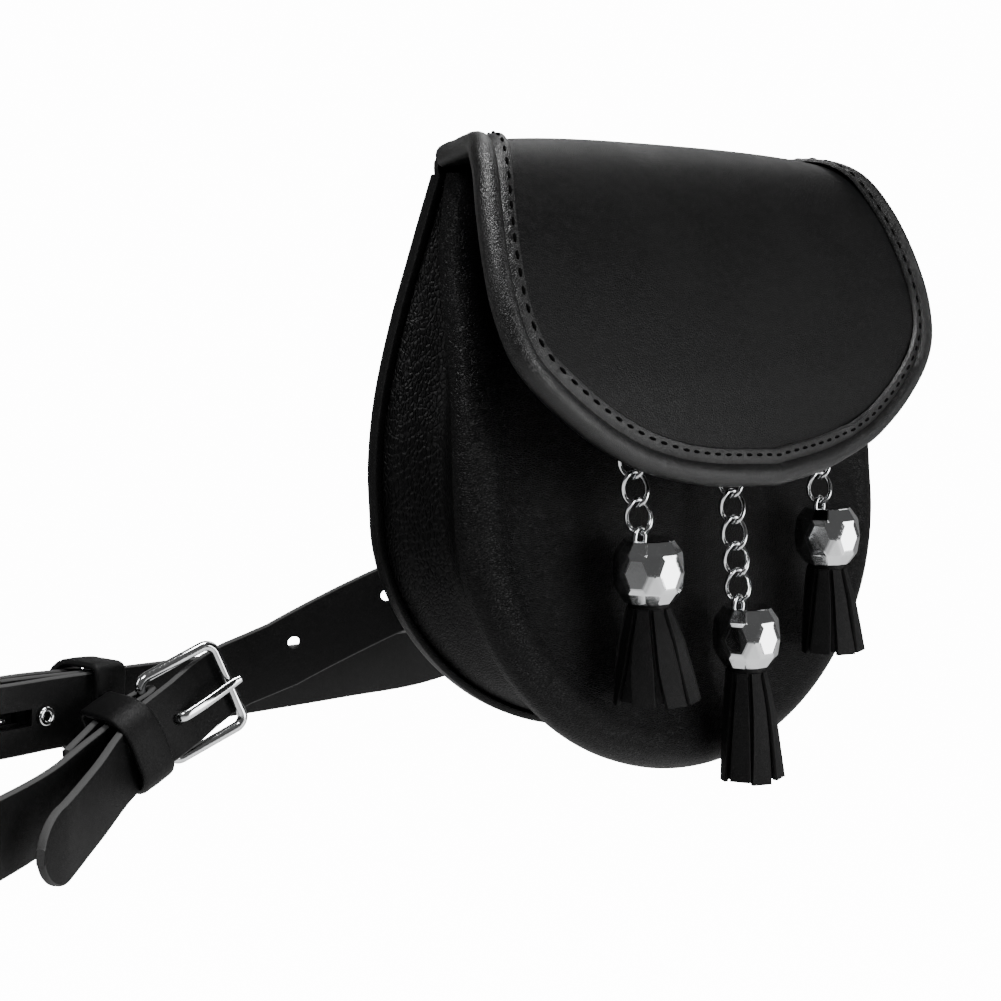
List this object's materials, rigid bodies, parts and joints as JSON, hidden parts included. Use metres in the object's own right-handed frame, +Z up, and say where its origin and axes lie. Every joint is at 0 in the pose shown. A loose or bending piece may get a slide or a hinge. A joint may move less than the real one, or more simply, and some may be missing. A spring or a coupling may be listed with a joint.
{
  "type": "sporran pouch",
  "caption": "Black leather day sporran pouch with a deep bound flap, leather tassels on faceted chrome beads and short chains, and a buckled waist strap.",
  "frame": {"origin": "The middle of the back panel's back face, at half the height of the pouch, where the back lies against the waist.", "axes": "+X across the pouch, from the buckled side of the strap to the plain side; +Y from the front of the pouch to the back, towards the waist; +Z up."},
  "size_m": [0.4367, 0.1743, 0.1873],
  "materials": {
    "black_leather": "smooth semi-gloss finished leather",
    "soft_black_leather": "soft grained leather, satin",
    "polished_chrome": "polished"
  },
  "bodies": {
    "root": {"back_loop_left": "black_leather", "back_loop_right": "black_leather", "back_panel": "black_leather", "bead_centre": "polished_chrome", "bead_left": "polished_chrome", "bead_right": "polished_chrome", "buckle_far": "polished_chrome", "buckle_near": "polished_chrome", "chain_anchor_centre": "polished_chrome", "chain_anchor_left": "polished_chrome", "chain_anchor_right": "polished_chrome", "chain_centre_link_01": "polished_chrome", "chain_centre_link_02": "polished_chrome", "chain_centre_link_03": "polished_chrome", "chain_centre_link_04": "polished_chrome", "chain_centre_link_05": "polished_chrome", "chain_centre_link_06": "polished_chrome", "chain_left_link_01": "polished_chrome", "chain_left_link_02": "polished_chrome", "chain_left_link_03": "polished_chrome", "chain_left_link_04": "polished_chrome", "chain_right_link_01": "polished_chrome", "chain_right_link_02": "polished_chrome", "chain_right_link_03": "polished_chrome", "chain_right_link_04": "polished_chrome", "flap": "black_leather", "flap_binding": "black_leather", "front_panel": "black_leather", "keeper_far": "black_leather", "keeper_near": "black_leather", "prong_far": "polished_chrome", "prong_near": "polished_chrome", "side_gusset": "soft_black_leather", "strap_back": "black_leather", "strap_eyelet": "polished_chrome", "strap_front": "black_leather", "tassel_centre": "black_leather", "tassel_left": "black_leather", "tassel_right": "black_leather"}
  },
  "joints": []
}
